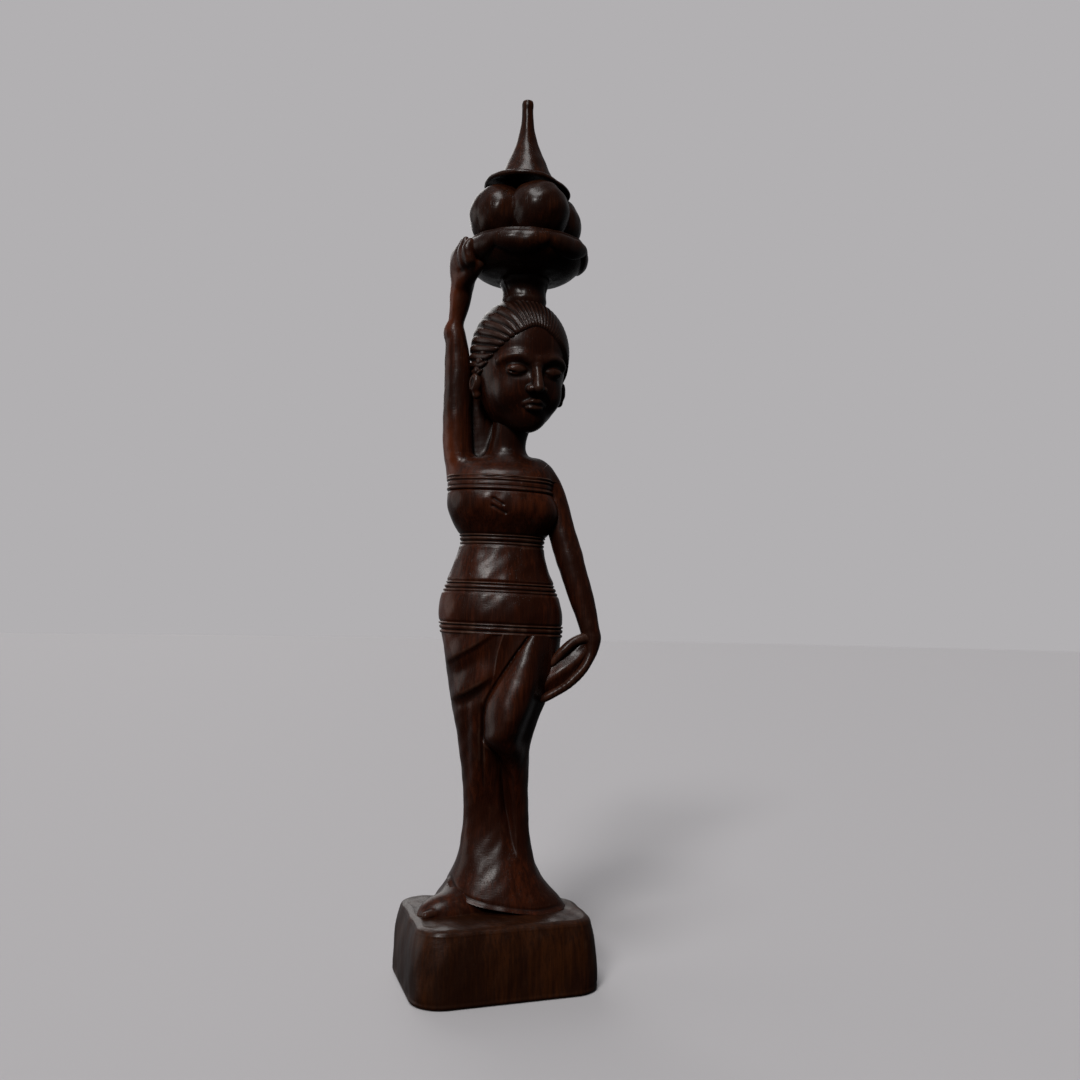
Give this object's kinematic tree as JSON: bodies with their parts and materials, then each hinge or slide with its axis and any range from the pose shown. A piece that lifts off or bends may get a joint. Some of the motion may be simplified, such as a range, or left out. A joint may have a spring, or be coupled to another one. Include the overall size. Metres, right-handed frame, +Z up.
{
  "type": "carved figure",
  "caption": "Dark carved hardwood figure of a woman standing on a rounded plinth, one arm raised to steady a covered fruit bowl on her head.",
  "frame": {"origin": "middle of the plinth's underside, on the surface that the figure stands on", "axes": "+Z up through the figure, the figure faces -Y, +X is the side of its lowered left arm"},
  "size_m": [0.0397, 0.0304, 0.1738],
  "materials": {
    "plinth_wood": "satin, open grain, worn paler on its top edge",
    "skin_wood": "high polish, smooth",
    "cloth_wood": "polished, fine lengthwise grain, carved folds",
    "border_wood": "polished, grooved border lines",
    "hair_wood": "satin, fine combed grooves",
    "offering_wood": "polished, turned and carved"
  },
  "bodies": {
    "root": {"plinth": "plinth_wood", "right_foot": "skin_wood", "skirt": "cloth_wood", "knee_drape": "cloth_wood", "front_pleat": "cloth_wood", "hem_band": "border_wood", "hip_wrap": "cloth_wood", "hip_band": "border_wood", "waist_wrap": "cloth_wood", "waist_band": "border_wood", "chest_wrap": "cloth_wood", "chest_band": "border_wood", "shoulders": "skin_wood", "neck": "skin_wood", "face": "skin_wood", "hair": "hair_wood", "side_lock": "hair_wood", "right_ear": "skin_wood", "left_ear": "skin_wood", "raised_upper_arm": "skin_wood", "raised_forearm": "skin_wood", "raised_hand": "skin_wood", "lowered_upper_arm": "skin_wood", "lowered_forearm": "skin_wood", "lowered_hand": "skin_wood", "lowered_thumb": "skin_wood", "gathered_cloth": "cloth_wood", "head_pad": "hair_wood", "bowl": "offering_wood", "fruit_1": "offering_wood", "fruit_2": "offering_wood", "fruit_3": "offering_wood", "fruit_4": "offering_wood", "lid": "offering_wood", "spire": "offering_wood"}
  },
  "joints": []
}
